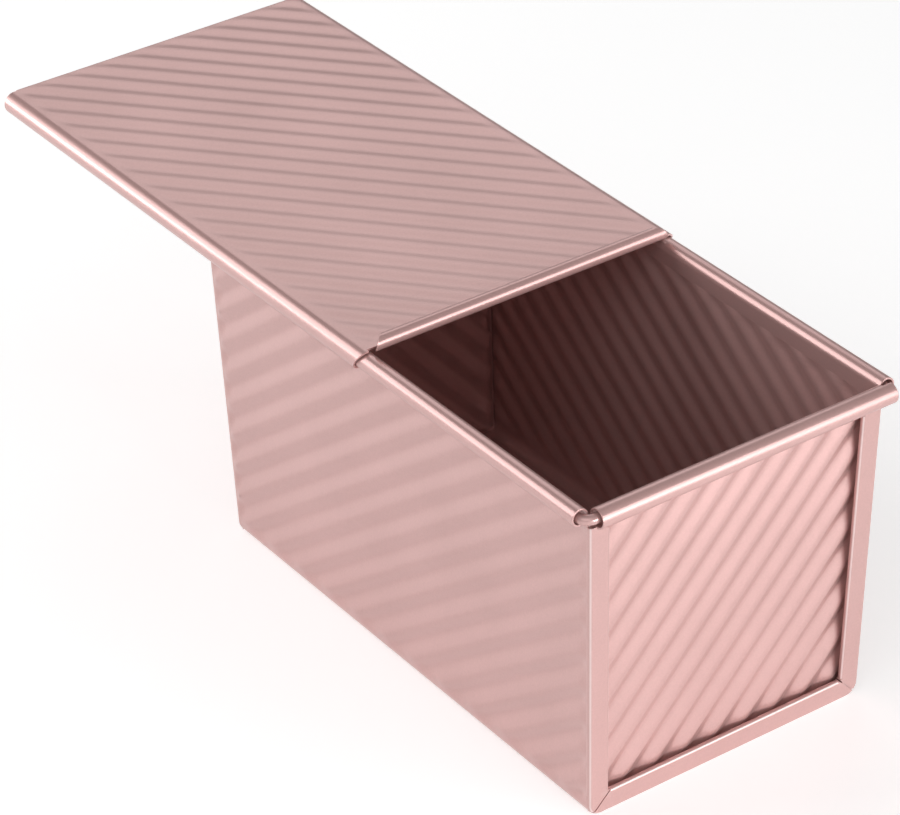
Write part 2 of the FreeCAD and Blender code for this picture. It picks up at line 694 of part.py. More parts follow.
# Lid: a ribbed plate whose channels ride under the long rims, with a rolled pull and a stop lip
LID_UNDER = "(sizes.pan_height + sizes.slide_clearance + sizes.rib_depth / 2)"
LID_TOP = f"({LID_UNDER} + sizes.sheet_gauge)"
CHANNEL_Y = f"({LONG_AXIS_Y} - sizes.rib_depth / 4)"
LID_FAR = (
    f"(-({END_AXIS_X} + sizes.end_curl_radius + sizes.slide_clearance + sizes.sheet_gauge"
    " + sizes.lid_slid_back))"
)
LID_NEAR = f"({LID_FAR} + sizes.lid_length)"
PLATE_NEAR = f"({LID_NEAR} - sizes.bead_radius)"
lid_under = d.pan_height + d.slide_clearance + d.rib_depth / 2
lid_top = lid_under + d.sheet_gauge
channel_radius = d.long_curl_radius + d.slide_clearance + d.rib_depth / 4
channel_y = long_axis_y - d.rib_depth / 4
lid_far = -(ring_x + d.end_curl_radius + d.slide_clearance + d.sheet_gauge + d.lid_slid_back)
lid_near = lid_far + d.lid_length
plate_far, plate_near = lid_far + d.lip_bend_radius, lid_near - d.bead_radius

lid_plate = extrude(
    "lid_plate",
    profile("lid_plate_profile", rounded_outline([
        (plate_far, lid_under, 0), (plate_near, lid_under, 0),
        (plate_near, lid_top, 0), (plate_far, lid_top, 0),
    ]), ON_XZ),
    V(0, 1, 0), f"2 * {CHANNEL_Y}",
)
field_from, field_to = plate_far, lid_near - 2 * d.bead_radius
FIELD_HALF = "((sizes.lid_length - sizes.lip_bend_radius - 2 * sizes.bead_radius) / 2 - sizes.rib_margin)"
LID_EDGE = f"({CHANNEL_Y} - sizes.rib_margin)"
lid_frame = FreeCAD.Placement(
    V((field_from + field_to) / 2, 0, (lid_under + lid_top) / 2), FreeCAD.Rotation(),
)
lid_ribs, lid_opening = ribbed_field(
    "lid", lid_frame, d.lid_rib_pitch, d.lid_rib_angle, d.rib_depth, d.sheet_gauge, V(0, 0, 0),
    (f"-{LID_EDGE}", LID_EDGE, FIELD_HALF, FIELD_HALF), "2 * sizes.lid_length",
)

channel_strip = extrude(
    "channel_strip",
    profile(
        "channel_profile",
        bent_sheet(
            (d.sheet_lap - channel_y, lid_top), 180,
            [("run", d.sheet_lap), ("bend", d.channel_turn, channel_radius)], d.sheet_gauge,
        ), ON_YZ, V(plate_far, 0, 0),
    ),
    V(1, 0, 0), "sizes.lid_length - sizes.lip_bend_radius - sizes.bead_radius", symmetric=False,
)
END_SLANT = "tan(sizes.channel_end_slant * 1deg) * sizes.overrun"
channel_ends = wedge(
    "channel_ends", f"{LID_TOP} - sizes.overrun", f"{LID_TOP} + sizes.overrun",
    (f"{LID_FAR} - sizes.overrun", f"{PLATE_NEAR} - {END_SLANT}", "-sizes.top_width", "sizes.top_width"),
    (f"{LID_FAR} - sizes.overrun", f"{PLATE_NEAR} + {END_SLANT}", "-sizes.top_width", "sizes.top_width"),
    UPRIGHT,
)
channel_left = common("channel_left", [channel_strip, channel_ends])
channel_right = mirrored("channel_right", channel_left, V(0, 1, 0))

bead_roll = extrude(
    "bead_roll",
    profile(
        "bead_profile",
        bent_sheet(
            (plate_near - d.sheet_lap, lid_under), 0,
            [("run", d.sheet_lap), ("bend", d.bead_turn, d.bead_radius - d.sheet_gauge)], d.sheet_gauge,
        ), ON_XZ,
    ),
    V(0, 1, 0), f"2 * {CHANNEL_Y}",
)
BEAD_SLANT = "tan(sizes.bead_end_slant * 1deg) * sizes.overrun"
BEAD_HALF = f"({CHANNEL_Y} - sizes.bead_end_gap)"
bead_ends = wedge(
    "bead_ends", f"{LID_UNDER} - sizes.overrun", f"{LID_UNDER} + sizes.overrun",
    *[(LID_FAR, f"{LID_NEAR} + sizes.overrun", f"-({half})", half)
      for half in (f"{BEAD_HALF} + {BEAD_SLANT}", f"{BEAD_HALF} - {BEAD_SLANT}")],
    UPRIGHT,
)
bead = common("bead", [bead_roll, bead_ends])
stop_lip = extrude(
    "stop_lip",
    profile(
        "stop_lip_profile",
        bent_sheet(
            (plate_far + d.sheet_lap, lid_top), 180,
            [("run", d.sheet_lap), ("bend", 90, d.lip_bend_radius - d.sheet_gauge),
             ("run", d.lip_depth - d.lip_bend_radius)],
            d.sheet_gauge,
        ), ON_XZ,
    ),
    V(0, 1, 0), f"2 * ({CHANNEL_Y} - sizes.lip_end_gap)",
)
lid_sheet = fused("lid_sheet", [
    cut("lid_flat", lid_plate, lid_opening), lid_ribs, channel_left, channel_right, bead, stop_lip,
])

doc.recompute()

# Every object must have built, and every piece must be one sound solid
for item in doc.Objects:
    if "Invalid" in item.State or "Error" in item.State:
        raise RuntimeError(f"{item.Name} did not build: {item.State}")
os.makedirs("parts", exist_ok=True)
for piece in (body_wrap, front_end_panel, rear_end_panel, rim_wire, lid_sheet):
    piece.Label = piece.Name
    if piece.Shape.isNull() or not piece.Shape.isValid() or len(piece.Shape.Solids) != 1:
        raise RuntimeError(f"{piece.Label} is not one sound solid")
    piece.Shape.exportStep(f"parts/{piece.Label}.step")
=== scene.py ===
# %% [markdown]
# A pullman loaf pan is a tin for square toast bread. One ribbed sheet of coated steel makes the base and
# both long sides, two plates close the ends, a ring of wire stiffens the rim, and a lid slides along that
# rim. The measured solids are loaded first as a fixed frame, and every piece below is drawn at the place
# they give.

# %% The measured frame
import math

import bmesh
import bpy
from mathutils import Matrix, Vector


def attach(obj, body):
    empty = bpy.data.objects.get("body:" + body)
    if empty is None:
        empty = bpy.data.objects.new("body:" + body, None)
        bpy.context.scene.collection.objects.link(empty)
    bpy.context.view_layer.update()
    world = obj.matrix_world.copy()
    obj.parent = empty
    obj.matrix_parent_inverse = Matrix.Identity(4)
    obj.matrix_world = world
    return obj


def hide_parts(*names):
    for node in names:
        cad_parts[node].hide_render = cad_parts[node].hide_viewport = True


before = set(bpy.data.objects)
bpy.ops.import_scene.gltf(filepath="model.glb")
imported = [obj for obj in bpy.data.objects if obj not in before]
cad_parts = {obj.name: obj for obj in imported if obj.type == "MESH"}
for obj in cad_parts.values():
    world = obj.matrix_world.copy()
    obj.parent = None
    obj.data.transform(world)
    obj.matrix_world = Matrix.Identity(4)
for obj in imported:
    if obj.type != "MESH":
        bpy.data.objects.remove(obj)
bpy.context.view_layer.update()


def plain(vector, digits=4):
    """A vector as a list of rounded numbers, for printing."""
    return [round(value, digits) for value in vector]


# %% [markdown]
# The solids have plain facets, which show on satin metal, so each sheet is drawn again more finely. Sheet
# metal is easiest to draw as a fitter sees it: a line through the middle of the sheet, runs and bends,
# pulled into a surface and then given its gauge. The main sizes are in millimetres; the walls lean outwards
# from base to rim.

# %% The pan's main sizes
MM = 0.001
GAUGE = 0.6
BASE_LENGTH, BASE_WIDTH = 189.4, 102.8
TOP_LENGTH, TOP_WIDTH = 198.0, 107.6
PAN_HEIGHT = 113.0
MID_HEIGHT = PAN_HEIGHT / 2
WALL_TOP = 105.8
END_LEAN = (TOP_LENGTH - BASE_LENGTH) / (2 * PAN_HEIGHT)
SIDE_LEAN = (TOP_WIDTH - BASE_WIDTH) / (2 * PAN_HEIGHT)
END_TILT = math.degrees(math.atan(END_LEAN))
SIDE_TILT = math.degrees(math.atan(SIDE_LEAN))


def mm(*values):
    """A place or a step in millimetres, as a vector in metres."""
    return Vector(values) * MM


def end_x(height):
    """Outer face of the end frame at a height."""
    return BASE_LENGTH / 2 + END_LEAN * height


def side_y(height):
    """Outer face of a long side at a height."""
    return BASE_WIDTH / 2 + SIDE_LEAN * height


print(f"ends lean {END_TILT:.2f} degrees, sides lean {SIDE_TILT:.2f} degrees")

# %% [markdown]
# A section line starts as one vertex: a small plane merged to its centre. A run extrudes that vertex, and a
# bend spins it about the bend's own centre, so the line stays smooth where a sheet is rolled. A curve could
# be drawn instead, but runs and bends are what a fitter measures. The spin operator turns against its axis,
# so the turn is given with its sign changed.

# %% Drawing a sheet's section
X, Y, Z = Vector((1, 0, 0)), Vector((0, 1, 0)), Vector((0, 0, 1))
ACROSS, ALONG, FLAT = (Y, Z), (X, Z), (X, Y)
DEGREES_PER_STEP, FEWEST_STEPS = 9.0, 2


def start_line(name, place):
    """A new piece of one vertex, left in edit mode."""
    bpy.ops.object.select_all(action="DESELECT")
    bpy.ops.mesh.primitive_plane_add(size=MM)
    piece = bpy.context.object
    piece.name = piece.data.name = name
    bpy.ops.object.mode_set(mode="EDIT")
    bpy.ops.mesh.select_mode(type="VERT")
    bpy.ops.mesh.merge(type="CENTER")
    bpy.ops.transform.translate(value=place)
    return piece


def extrude_point(step):
    """Draws a straight line on from the selected vertex."""
    bpy.ops.mesh.extrude_vertices_move(TRANSFORM_OT_translate={"value": step})


def draw(plane, place, heading, moves):
    """Draws on from the selected vertex, which is at a place and looks along a heading in a plane.

    A move is ("run", length, steps) or ("bend", angle, radius), and a bend to the left has a positive angle.
    """
    axis = plane[0].cross(plane[1])
    turned = math.radians(heading)
    for kind, amount, detail in moves:
        ahead = plane[0] * math.cos(turned) + plane[1] * math.sin(turned)
        if kind == "run":
            for _ in range(detail):
                extrude_point(ahead * (amount * MM / detail))
            place = place + ahead * (amount * MM)
            continue
        turn = math.radians(amount)
        centre = place + axis.cross(ahead) * math.copysign(detail * MM, turn)
        steps = max(FEWEST_STEPS, round(abs(amount) / DEGREES_PER_STEP))
        bpy.ops.mesh.spin(steps=steps, angle=-turn, center=centre, axis=axis)
        place = centre + Matrix.Rotation(turn, 3, axis) @ (place - centre)
        turned += turn


print("steps in a quarter bend", round(90 / DEGREES_PER_STEP))

# %% [markdown]
# A section becomes a sheet when all of it is pulled along a step. Three lengths come up again and again
# where sheets lean and bend: the slope of a sheet that climbs to a height, the part of each straight run
# that a bend takes up, and the run that leads up to a rolled rim.

# %% Sheets, slopes and bends
def pull(step, count=1):
    """Pulls all that is drawn along a step, count times, so that the line becomes a sheet."""
    bpy.ops.mesh.select_all(action="SELECT")
    bpy.ops.mesh.extrude_repeat(steps=count, offset=step)


def extrude_edges(step):
    """Pulls the selected edges on into a sheet, or the selected face into a block."""
    bpy.ops.mesh.extrude_region_move(TRANSFORM_OT_translate={"value": step})


def slope(climb, tilt):
    """Length of a tilted sheet that climbs to a height."""
    return climb / math.cos(math.radians(tilt))


def bend_reach(radius, turn):
    """How far before the corner of two straight runs their bend starts."""
    return radius * math.tan(math.radians(turn / 2))


def lead_to_curl(start, axis, radius, tilt):
    """Length of a tilted sheet from a start height to where it begins to roll about an axis height."""
    return slope(axis + radius * math.sin(math.radians(tilt)) - start, tilt)


print(f"a long side is {slope(PAN_HEIGHT, SIDE_TILT):.2f} mm along its slope")

# %% [markdown]
# Operators act on what is selected. These helpers pick vertices, edges or faces by where their middle lies,
# trim a sheet with a plane, and make its normals agree, which Solidify and the ribs need later.

# %% Picking and trimming
HAIR = 1e-6
TOUCH = 0.01


def middle_of(element):
    """The middle of a vertex, edge or face, in millimetres."""
    points = [element.co] if hasattr(element, "co") else [vertex.co for vertex in element.verts]
    return sum(points, Vector()) / len(points) / MM


def pick(kind, test):
    """Selects the VERT, EDGE or FACE elements whose middle passes the test, and says how many."""
    bpy.ops.mesh.select_mode(type=kind)
    bpy.ops.mesh.select_all(action="DESELECT")
    mesh = bmesh.from_edit_mesh(bpy.context.edit_object.data)
    elements = {"VERT": mesh.verts, "EDGE": mesh.edges, "FACE": mesh.faces}[kind]
    chosen = [element for element in elements if test(middle_of(element))]
    for element in chosen:
        element.select_set(True)
    mesh.select_flush(True)
    bmesh.update_edit_mesh(bpy.context.edit_object.data)
    return len(chosen)


def trim(place, normal, fill=False, picked=False):
    """Cuts away what lies beyond a plane, of the whole piece or only of what is picked."""
    if not picked:
        bpy.ops.mesh.select_all(action="SELECT")
    bpy.ops.mesh.bisect(plane_co=place, plane_no=normal, clear_outer=True, use_fill=fill, threshold=HAIR)


def turn_outwards():
    """Makes the normals agree, outwards on a closed piece."""
    bpy.ops.mesh.select_all(action="SELECT")
    bpy.ops.mesh.normals_make_consistent(inside=False)


def face_towards(place, way):
    """Makes an open sheet's normals agree, so that the face nearest to a place looks a given way."""
    bpy.ops.mesh.select_all(action="SELECT")
    bpy.ops.mesh.remove_doubles(threshold=HAIR)
    turn_outwards()
    mesh = bmesh.from_edit_mesh(bpy.context.edit_object.data)
    nearest = min(mesh.faces, key=lambda face: (middle_of(face) - Vector(place)).length)
    if nearest.normal.dot(way) < 0:
        bpy.ops.mesh.flip_normals()


print(f"points within {TOUCH} mm of a line count as on it")

# %% [markdown]
# A drawn sheet is then finished. Solidify gives it the gauge evenly on both sides, Bevel rounds the cut
# edges that show, and weighted normals keep flat sheet flat beside a tight bend. A piece whose two halves
# are alike is drawn by half and mirrored, and what sits at both ends of the pan is drawn once and copied
# with a half turn, because the turned copy keeps the slant of its ribs and a mirrored one would not.

# %% Finishing a sheet
CUT_ROUND, CUT_SEGMENTS = 0.14, 2
SHARP_ANGLE, SMOOTH_ANGLE = math.radians(50), math.radians(40)


def take(*pieces):
    """Selects these pieces alone, with the first one active."""
    bpy.ops.object.select_all(action="DESELECT")
    for piece in pieces:
        piece.select_set(True)
    bpy.context.view_layer.objects.active = pieces[0]


def give_gauge(piece):
    """Thickens a drawn sheet about its middle line."""
    bpy.ops.object.mode_set(mode="OBJECT")
    take(piece)
    solid = piece.modifiers.new("gauge", "SOLIDIFY")
    solid.thickness, solid.offset, solid.use_even_offset = GAUGE * MM, 0, True
    bpy.ops.object.modifier_apply(modifier=solid.name)


def soften(piece, test):
    """Rounds the sharp cut edges whose middle passes the test."""
    bpy.ops.object.mode_set(mode="EDIT")
    bpy.ops.mesh.select_mode(type="EDGE")
    bpy.ops.mesh.select_all(action="DESELECT")
    mesh = bmesh.from_edit_mesh(piece.data)
    for edge in mesh.edges:
        sharp = len(edge.link_faces) == 2 and edge.calc_face_angle() > SHARP_ANGLE
        edge.select_set(sharp and test(middle_of(edge)))
    bmesh.update_edit_mesh(piece.data)
    bpy.ops.mesh.bevel(offset=CUT_ROUND * MM, segments=CUT_SEGMENTS, affect="EDGES")
    bpy.ops.object.mode_set(mode="OBJECT")


def smooth(piece):
    """Smooth shading in the bends, sharp at cut edges, and even on flat sheet."""
    take(piece)
    bpy.ops.object.shade_smooth_by_angle(angle=SMOOTH_ANGLE)
    even = piece.modifiers.new("even", "WEIGHTED_NORMAL")
    even.keep_sharp = True
    bpy.ops.object.modifier_apply(modifier=even.name)


def mirror_across(piece):
    """Adds the other half of a piece, mirrored from one long side to the other."""
    take(piece)
    mirror = piece.modifiers.new("mirror", "MIRROR")
    mirror.use_axis = (False, True, False)
    mirror.merge_threshold = HAIR
    bpy.ops.object.modifier_apply(modifier=mirror.name)


def half_turn_copy(piece, name):
    """The same piece at the other end of the pan, turned half round about the middle."""
    take(piece)
    bpy.ops.object.duplicate(linked=False)
    copy = bpy.context.object
    copy.name = copy.data.name = name
    bpy.ops.transform.rotate(value=math.pi, orient_axis="Z", center_override=(0, 0, 0))
    bpy.ops.object.transform_apply(location=True, rotation=True, scale=True)
    return copy


print(f"cut edges are rounded to {CUT_ROUND} mm")

# %% [markdown]
# Ribs are pressed into every panel to stiffen it. Each rib could be drawn into the section, but the ribs
# run on a slant and die out at the edges, so a Displace modifier presses them into the flat sheet instead.
# Its texture is a saw band whose colour ramp draws one rib's section, with eased or straight flanks. An
# empty sets the pitch and the slant, and a vertex group fades the ribs. A texture of type Wood bands runs
# along the sum of the three axes, so the empty's long diagonal is laid across the ribs.

# %% Pressing ribs
BAND_RATE = 10.0


def ease(value):
    """0 below 0, 1 above 1, and a smooth step between."""
    value = min(1.0, max(0.0, value))
    return value * value * (3 - 2 * value)


def across_ribs(angle, along, up):
    """The direction across ribs whose slant is an angle."""
    return along * math.sin(math.radians(angle)) + up * math.cos(math.radians(angle))


def rib_texture(rise, flanks):
    """Bands whose ramp climbs for the part rise of a pitch and falls for the rest, with flanks as named."""
    bands = bpy.data.textures.new("bands", "WOOD")
    bands.wood_type, bands.noise_basis_2, bands.use_color_ramp = "BANDS", "SAW", True
    bands.color_ramp.interpolation = flanks
    bands.color_ramp.elements.new(rise)
    for element, height in zip(bands.color_ramp.elements, (0, 1, 0)):
        element.color = (height, height, height, 1)
    return bands


def press_ribs(piece, share, way, pitch, depth, middle, rise=0.5, level=0.5, flanks="EASE"):
    """Presses ribs a pitch apart along way, as far at each place as share(place) says.

    level is the height in the rib's section that stays in the plane of the sheet, from 0 for its foot to 1
    for its crest; above 1 the whole field sinks.
    """
    group = piece.vertex_groups.new(name="pressed")
    for vertex in piece.data.vertices:
        weight = share(vertex.co / MM)
        if weight > 0:
            group.add([vertex.index], weight, "REPLACE")
    bpy.ops.object.select_all(action="DESELECT")
    bpy.ops.object.empty_add(location=mm(*middle))
    guide = bpy.context.object
    guide.rotation_mode = "QUATERNION"
    guide.rotation_quaternion = Vector((1, 1, 1)).rotation_difference(way)
    guide.scale = [BAND_RATE * math.sqrt(3) * pitch * MM / (2 * math.pi)] * 3
    bpy.context.view_layer.update()
    bands = rib_texture(rise, flanks)
    press = piece.modifiers.new("ribs", "DISPLACE")
    press.texture, press.texture_coords, press.texture_coords_object = bands, "OBJECT", guide
    press.vertex_group, press.strength, press.mid_level = group.name, depth * MM, level
    take(piece)
    bpy.ops.object.modifier_apply(modifier=press.name)
    bpy.ops.object.vertex_group_remove(all=True)
    bpy.data.objects.remove(guide)
    bpy.data.textures.remove(bands)
    print(f"{piece.name}: ribs {pitch} mm apart, {depth} mm deep")


# %% [markdown]
# The wrap is one sheet: a long side, the base and the other long side. Its section is a U with rounded
# bends, pulled along the pan in many steps so that there is enough sheet for the ribs. It is pulled too
# long and trimmed by two leaning planes just short of the folds at the ends, because a straight pull can't
# lean outwards by itself.

# %% The wrap's sheet
FOLD_RADIUS, FOLD_LEAD = 1.2, 0.5
BASE_BEND = 4.5
SHEET_STEP = 1.3
wrap_end = BASE_LENGTH / 2 - FOLD_RADIUS - FOLD_LEAD
bend_turn, bend_radius = 90 - SIDE_TILT, BASE_BEND - GAUGE / 2
wrap_bend_reach = bend_reach(bend_radius, bend_turn)
foot_y = side_y(GAUGE / 2) - GAUGE / 2
wall_run = slope(WALL_TOP - GAUGE / 2, SIDE_TILT) - wrap_bend_reach
base_run = 2 * (foot_y - wrap_bend_reach)
wrap_start = mm(-TOP_LENGTH / 2, GAUGE / 2 - side_y(WALL_TOP), WALL_TOP)


def fine_steps(run):
    """How many steps a run of ribbed sheet needs."""
    return round(run / SHEET_STEP)


def pull_finely(length):
    """Pulls a section along the pan, in steps that are fine enough for ribs."""
    pull(X * (length * MM / fine_steps(length)), fine_steps(length))


wrap = start_line("ribbed_wrap", wrap_start)
draw(ACROSS, wrap_start, SIDE_TILT - 90, [
    ("run", wall_run, fine_steps(wall_run)), ("bend", bend_turn, bend_radius),
    ("run", base_run, fine_steps(base_run)), ("bend", bend_turn, bend_radius),
    ("run", wall_run, fine_steps(wall_run)),
])
pull_finely(TOP_LENGTH)
for way in (1, -1):
    trim(mm(way * wrap_end, 0, 0), (way, 0, -END_LEAN))
face_towards((0, -side_y(MID_HEIGHT), MID_HEIGHT), -Y)
bpy.ops.object.mode_set(mode="OBJECT")
print(f"{wrap.name}: walls {wall_run:.1f} mm and base {base_run:.1f} mm between the bends")

# %% [markdown]
# The wrap's ribs slant the same way seen from outside either long side, and shallower ones cross the base.
# They are pressed one panel at a time, each with its own share, which is 1 in the panel and eases to 0 at
# its edges. The flanks of the side ribs are straight and uneven, so that each rib shows one broad light
# band and one dark band.

# %% The wrap's ribs
WRAP_PITCH, WRAP_ANGLE, WRAP_DEPTH, BASE_DEPTH = 9.4, 37.0, 1.6, 0.4
RIB_RISE, RIB_FADE, RIB_MARGIN = 0.42, 2.5, 0.5


def fade(*gaps):
    """1 in the field of the ribs, easing to 0 at the edges that the gaps are measured from."""
    return math.prod(ease(gap / RIB_FADE) for gap in gaps)


def wrap_share(side):
    """How far the ribs are pressed on one long side: fully, but for its edges."""
    def share(place):
        if place.y * side < BASE_WIDTH / 2 - BASE_BEND / 2:
            return 0.0
        end_gap = wrap_end + FOLD_LEAD + END_LEAN * place.z - abs(place.x)
        return fade(place.z - BASE_BEND, WALL_TOP - place.z, end_gap - RIB_MARGIN)
    return share


def base_share(place):
    """How far the ribs are pressed on the base."""
    if place.z > GAUGE:
        return 0.0
    return fade(BASE_WIDTH / 2 - BASE_BEND - abs(place.y), wrap_end - abs(place.x) - RIB_MARGIN)


for side in (-1, 1):
    press_ribs(wrap, wrap_share(side), across_ribs(WRAP_ANGLE, X * side, Z), WRAP_PITCH, WRAP_DEPTH,
               (0, side * side_y(MID_HEIGHT), MID_HEIGHT), rise=RIB_RISE, flanks="LINEAR")
press_ribs(wrap, base_share, across_ribs(WRAP_ANGLE, -X, -Y), WRAP_PITCH, BASE_DEPTH, (0, 0, 0), level=1.0)
give_gauge(wrap)
smooth(wrap)
print(wrap.name, len(wrap.data.polygons), "faces")

# %% [markdown]
# Above the ribs each long side rolls outwards over the wire. The roll stops short of the corners, where the
# wire turns in the open. It is drawn once, as a short lead and a bend of 280 degrees, and its copy is
# turned half round. It is kept apart from the wrap, because a plain roll needs few steps along the pan and
# the ribs need many.

# %% The long rims
LONG_CURL, CURL_TURN, CURL_SETBACK = 2.9, 280.0, 1.7
LEAD_STEPS = 2
JOIN_CLEAR = 0.5
long_axis_z = PAN_HEIGHT - LONG_CURL
curl_half = TOP_LENGTH / 2 - CURL_SETBACK
curl_radius = LONG_CURL - GAUGE / 2
curl_lead = lead_to_curl(WALL_TOP, long_axis_z, curl_radius, SIDE_TILT)
lead_z = WALL_TOP + curl_lead / 2
curl_start = mm(-curl_half, GAUGE / 2 - side_y(WALL_TOP), WALL_TOP)
long_rim_left = start_line("long_rim_left", curl_start)
draw(ACROSS, curl_start, 90 + SIDE_TILT, [("run", curl_lead, LEAD_STEPS), ("bend", CURL_TURN, curl_radius)])
pull(X * (2 * curl_half * MM))
face_towards((0, -side_y(lead_z), lead_z), -Y)
give_gauge(long_rim_left)
soften(long_rim_left, lambda place: place.z > WALL_TOP + JOIN_CLEAR)
smooth(long_rim_left)
long_rim_right = half_turn_copy(long_rim_left, "long_rim_right")
print(long_rim_right.name, "at", plain(long_rim_right.location))

# %% [markdown]
# At each end the wrap folds over into a frame: two upright strips and one along the base, whose inner edges
# are hemmed back to hold the end plate. Half of the front frame is drawn and mirrored. The strip's top
# inner corner is nipped off, as a fitter does so that it clears the rim.

# %% The end frame's upright strip
STRIP_WIDTH, BASE_STRIP_WIDTH, STRIP_STEPS = 7.2, 7.5, 6
SEAM_GAP, MITRE_GAP, HEM_TIP_GAP = 0.1, 0.45, 0.3
NIP_WIDTH, NIP_DROP = 2.4, 1.0
HEM_RADIUS = (3 * GAUGE + 2 * SEAM_GAP) / 2
HOOK_INSET = GAUGE + SEAM_GAP + HEM_RADIUS
PANEL_RECESS = 2 * HEM_RADIUS + SEAM_GAP
fold_middle, hem_middle = FOLD_RADIUS - GAUGE / 2, HEM_RADIUS - GAUGE / 2
corner_z = BASE_STRIP_WIDTH + MITRE_GAP
corner_y = BASE_WIDTH / 2 - STRIP_WIDTH - MITRE_GAP
hem = [("bend", 180, hem_middle), ("run", STRIP_WIDTH - HEM_RADIUS - HOOK_INSET - HEM_TIP_GAP, 1)]
upright = Vector((END_LEAN, -SIDE_LEAN, 1)) * ((WALL_TOP - corner_z) * MM)
strip_edge = STRIP_WIDTH - side_y(WALL_TOP)

strip_start = mm(end_x(corner_z) - FOLD_RADIUS - FOLD_LEAD, GAUGE / 2 - side_y(corner_z), corner_z)
strip = start_line("strip", strip_start)
draw(FLAT, strip_start, 0, [
    ("run", FOLD_LEAD, 1), ("bend", 90, fold_middle),
    ("run", STRIP_WIDTH - FOLD_RADIUS - HEM_RADIUS, STRIP_STEPS), *hem,
])
pull(upright)
trim(mm(0, strip_edge - NIP_WIDTH, WALL_TOP), (0, NIP_DROP, NIP_WIDTH))
face_towards((end_x(MID_HEIGHT), -side_y(MID_HEIGHT) + STRIP_WIDTH / 2, MID_HEIGHT), X)
give_gauge(strip)
soften(strip, lambda place: place.z > WALL_TOP - 2 * NIP_DROP)
print(f"upright strip {STRIP_WIDTH} mm wide, hem {hem[1][1]:.2f} mm deep")

# %% [markdown]
# The strip along the base is the same fold, lying down: the base turns up into the frame and is hemmed
# back. Its section is drawn at the corner and pulled across to the middle of the pan.

# %% The strip along the base
base_turn = 90 - END_TILT
fold_reach = bend_reach(fold_middle, base_turn)
fold_x = end_x(GAUGE / 2) - GAUGE / 2
base_strip_start = mm(wrap_end, -corner_y, GAUGE / 2)
base_strip = start_line("base_strip", base_strip_start)
draw(ALONG, base_strip_start, 0, [
    ("run", fold_x - fold_reach - wrap_end, 1), ("bend", base_turn, fold_middle),
    ("run", slope(BASE_STRIP_WIDTH - HEM_RADIUS - GAUGE / 2, END_TILT) - fold_reach, STRIP_STEPS), *hem,
])
pull(Y * (corner_y * MM))
face_towards((end_x(BASE_STRIP_WIDTH / 2), -corner_y / 2, BASE_STRIP_WIDTH / 2), X)
give_gauge(base_strip)
print(f"base strip {BASE_STRIP_WIDTH} mm wide, half of it {corner_y:.2f} mm long")

# %% [markdown]
# Where upright and base strip meet there is a mitred corner, rounded like the wrap's bend. A strip can't be
# pulled round two bends at once, so the corner is a face drawn round that bend, extruded into a block, cut
# to the leaning front of the frame and bevelled to the fold's radius.

# %% The mitred corner
CORNER_SPARE, CORNER_STOCK, FOLD_SEGMENTS = 1.0, 4.0, 6
FOLD_TOUCH, FOLD_END = 0.05, 0.5
outer_reach = bend_reach(BASE_BEND, bend_turn)
corner_start = mm(wrap_end - CORNER_SPARE, -corner_y, 0)
corner = start_line("corner", corner_start)
draw(ACROSS, corner_start, 180, [
    ("run", BASE_WIDTH / 2 - corner_y - outer_reach, 1), ("bend", -bend_turn, BASE_BEND),
    ("run", slope(corner_z, SIDE_TILT) - outer_reach, 1),
])
extrude_point(mm(0, STRIP_WIDTH, 0))
extrude_point(mm(0, side_y(corner_z) - STRIP_WIDTH - corner_y, -MITRE_GAP))
bpy.ops.mesh.select_all(action="SELECT")
bpy.ops.mesh.edge_face_add()
extrude_edges(mm(CORNER_STOCK, 0, 0))
for front, way in ((BASE_LENGTH / 2, 1), (wrap_end, -1)):
    trim(mm(front, 0, 0), (way, 0, -way * END_LEAN), fill=True)
turn_outwards()


def on_fold_edge(place):
    """The front edge along the outside of the corner, from the wall round to the base."""
    on_front = place.x > end_x(place.z) - TOUCH
    on_wall = place.y < FOLD_TOUCH - side_y(place.z)
    on_top = place.z > corner_z - FOLD_END
    on_inside = place.y > -corner_y - FOLD_TOUCH or place.z > FOLD_TOUCH - place.y - corner_y
    return on_front and (on_wall or place.z < BASE_BEND) and not on_top and not on_inside


print("fold edges", pick("EDGE", on_fold_edge))
bpy.ops.mesh.bevel(offset=FOLD_RADIUS * MM, segments=FOLD_SEGMENTS, affect="EDGES")
bpy.ops.object.mode_set(mode="OBJECT")

# %% [markdown]
# On the tin a thin dark line runs through the corner, where the two strips meet on the mitre. A painted
# line would be flat, so the corner is copied and each copy is cut back from the mitre by half of the gap.

# %% The cut along the mitre
mitre_foot = mm(0, -BASE_WIDTH / 2, 0)
mitre_way = Vector((0, BASE_STRIP_WIDTH, -STRIP_WIDTH)).normalized()
take(corner)
bpy.ops.object.duplicate(linked=False)
low_corner = bpy.context.object
for half, way in ((corner, mitre_way), (low_corner, -mitre_way)):
    take(half)
    bpy.ops.object.mode_set(mode="EDIT")
    trim(mitre_foot - way * (MITRE_GAP / 2 * MM), way, fill=True)
    turn_outwards()
    bpy.ops.object.mode_set(mode="OBJECT")
print("corner halves", len(corner.data.polygons), "and", len(low_corner.data.polygons), "faces")

# %% [markdown]
# The strips and corner are joined, mirrored to the other side and copied to the other end.

# %% Both end frames
take(strip, base_strip, corner, low_corner)
bpy.ops.object.join()
frame_front = strip
frame_front.name = frame_front.data.name = "end_frame_front"
mirror_across(frame_front)
smooth(frame_front)
frame_rear = half_turn_copy(frame_front, "end_frame_rear")
print(frame_front.name, len(frame_front.data.polygons), "faces")

# %% [markdown]
# Each end plate hangs in its frame. It is one quad, drawn to the taper of the pan and subdivided for the
# ribs. The ribbed field is sunk a little behind the strips, so that a dark line shows along them as on the
# tin: the press takes the ribs' crests below the plane of the plate and eases out under the strips.

